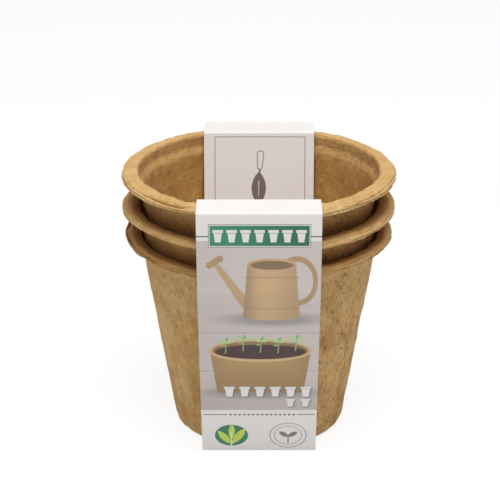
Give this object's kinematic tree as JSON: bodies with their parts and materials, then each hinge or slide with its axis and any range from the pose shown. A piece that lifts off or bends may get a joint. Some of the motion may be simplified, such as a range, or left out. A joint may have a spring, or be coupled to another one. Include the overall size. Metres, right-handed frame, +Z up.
{
  "type": "nested plant pots in a card sleeve",
  "caption": "Round tapered moulded-fibre plant pots with wide lips, nested and held together by a folded card sleeve.",
  "frame": {"origin": "under the middle of the sleeve, on the surface the stack stands on", "axes": "+Z up along the axis of the pots, front panel of the sleeve towards -Y, sleeve's open sides towards +X and -X"},
  "size_m": [0.105, 0.1064, 0.1047],
  "materials": {
    "moulded_fibre": "rough pressed wood fibre, uncoated",
    "printed_card": "coated folding card, printed one side",
    "dried_glue": "dried packaging glue"
  },
  "bodies": {
    "sleeve": {"card_sleeve": "printed_card", "glue_strip": "dried_glue"},
    "bottom_pot": {"pot_bottom": "moulded_fibre"},
    "middle_pot": {"pot_middle": "moulded_fibre"},
    "top_pot": {"pot_top": "moulded_fibre"}
  },
  "joints": [
    {"name": "bottom_pot_turn", "type": "hinge", "parent": "sleeve", "child": "bottom_pot", "pos_m": [0, 0, 0.0004], "axis": [0, 0, 1], "continuous": true},
    {"name": "middle_pot_turn", "type": "hinge", "parent": "bottom_pot", "child": "middle_pot", "pos_m": [0, 0, 0.011], "axis": [0, 0, 1], "continuous": true},
    {"name": "top_pot_turn", "type": "hinge", "parent": "middle_pot", "child": "top_pot", "pos_m": [0, 0, 0.024], "axis": [0, 0, 1], "continuous": true}
  ]
}
